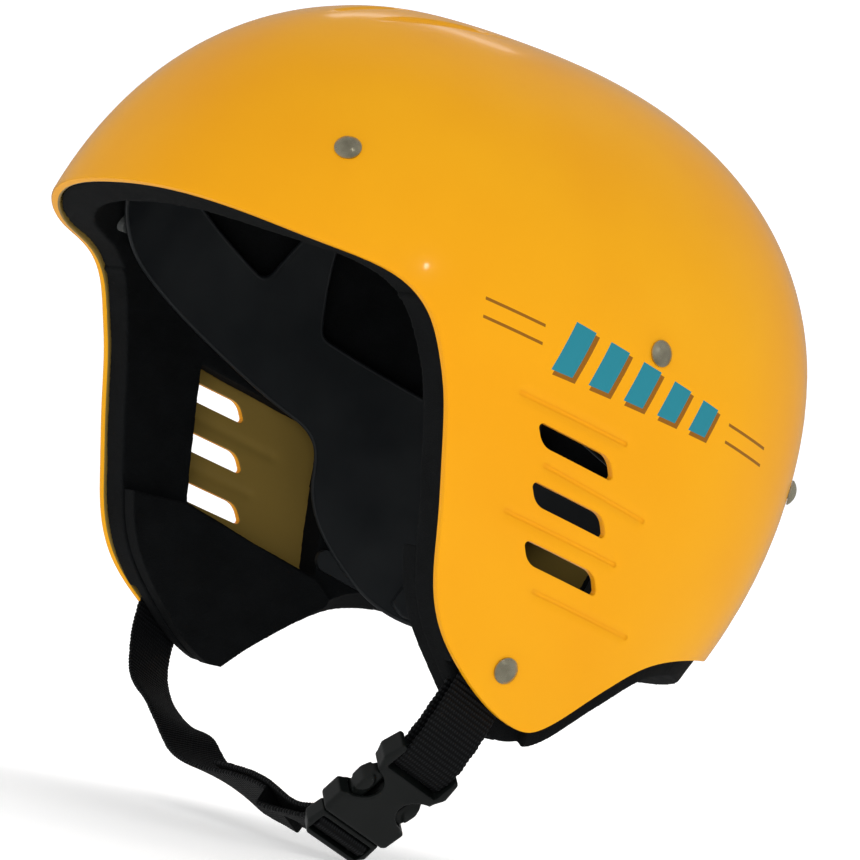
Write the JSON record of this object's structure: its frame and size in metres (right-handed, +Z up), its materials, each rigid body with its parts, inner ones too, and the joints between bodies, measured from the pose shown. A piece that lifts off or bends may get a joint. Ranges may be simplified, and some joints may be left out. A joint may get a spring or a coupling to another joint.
{
  "type": "water sports helmet",
  "caption": "Open-face water sports helmet with ear flaps, vent slots, foam liner, plastic head cradle and a buckled webbing chin strap.",
  "frame": {"origin": "middle of the head cavity, where the wearer's head sits", "axes": "+Z up through the crown, -Y forward out of the face opening, +X to the wearer's left"},
  "size_m": [0.2118, 0.2448, 0.2551],
  "materials": {
    "shell_plastic": "glossy moulded ABS",
    "foam": "matt closed-cell foam",
    "cradle_plastic": "smooth satin polyethylene",
    "tab_plastic": "satin moulded plastic",
    "washer_plastic": "matt moulded nylon",
    "rivet_metal": "nickel plated, worn satin",
    "webbing": "ribbed black webbing",
    "buckle_plastic": "satin moulded acetal"
  },
  "bodies": {
    "helmet": {"outer_shell": "shell_plastic", "brow_pad": "foam", "crown_pad": "foam", "rear_pad": "foam", "side_pad_left": "foam", "side_pad_right": "foam", "ear_pad_left": "foam", "ear_pad_right": "foam", "head_cradle": "cradle_plastic", "brow_tabs": "tab_plastic", "nape_tabs": "cradle_plastic", "front_rivets": "rivet_metal", "side_rivets": "rivet_metal", "rear_rivets": "rivet_metal", "strap_rivets": "rivet_metal", "front_washers": "washer_plastic", "side_washers": "washer_plastic", "rear_washers": "washer_plastic", "strap_washers": "washer_plastic"},
    "strap_left": {"chin_strap_left": "webbing", "buckle_socket": "buckle_plastic"},
    "strap_right": {"chin_strap_right": "webbing", "buckle_plug": "buckle_plastic"},
    "prong_front": {"prong_front": "buckle_plastic"},
    "prong_rear": {"prong_rear": "buckle_plastic"},
    "nape": {"nape_strap": "cradle_plastic"}
  },
  "joints": [
    {"name": "strap_swing_left", "type": "hinge", "parent": "helmet", "child": "strap_left", "pos_m": [0, -0.0068, -0.05], "axis": [1, 0, 0], "range_deg": [-15, 11]},
    {"name": "strap_swing_right", "type": "hinge", "parent": "helmet", "child": "strap_right", "pos_m": [0, -0.0068, -0.05], "axis": [1, 0, 0], "range_deg": [-15, 11]},
    {"name": "prong_front_squeeze", "type": "hinge", "parent": "strap_right", "child": "prong_front", "pos_m": [0.06707, -0.03245, -0.09884], "axis": [-0.7891, 0.2101, 0.5772], "range_deg": [0, 7], "stiffness_Nm_per_rad": 0.2, "springref_deg": -1.15},
    {"name": "prong_rear_squeeze", "type": "hinge", "parent": "strap_right", "child": "prong_rear", "pos_m": [0.06707, -0.01854, -0.10391], "axis": [-0.7891, 0.2101, 0.5772], "range_deg": [-7, 0], "stiffness_Nm_per_rad": 0.2, "springref_deg": 1.15},
    {"name": "nape_size", "type": "slide", "parent": "helmet", "child": "nape", "axis": [0, -1, 0], "range_m": [0, 0.008]}
  ],
  "couplings": [
    {"joint": "strap_swing_right", "follows": "strap_swing_left", "ratio": 1},
    {"joint": "prong_rear_squeeze", "follows": "prong_front_squeeze", "ratio": -1}
  ]
}
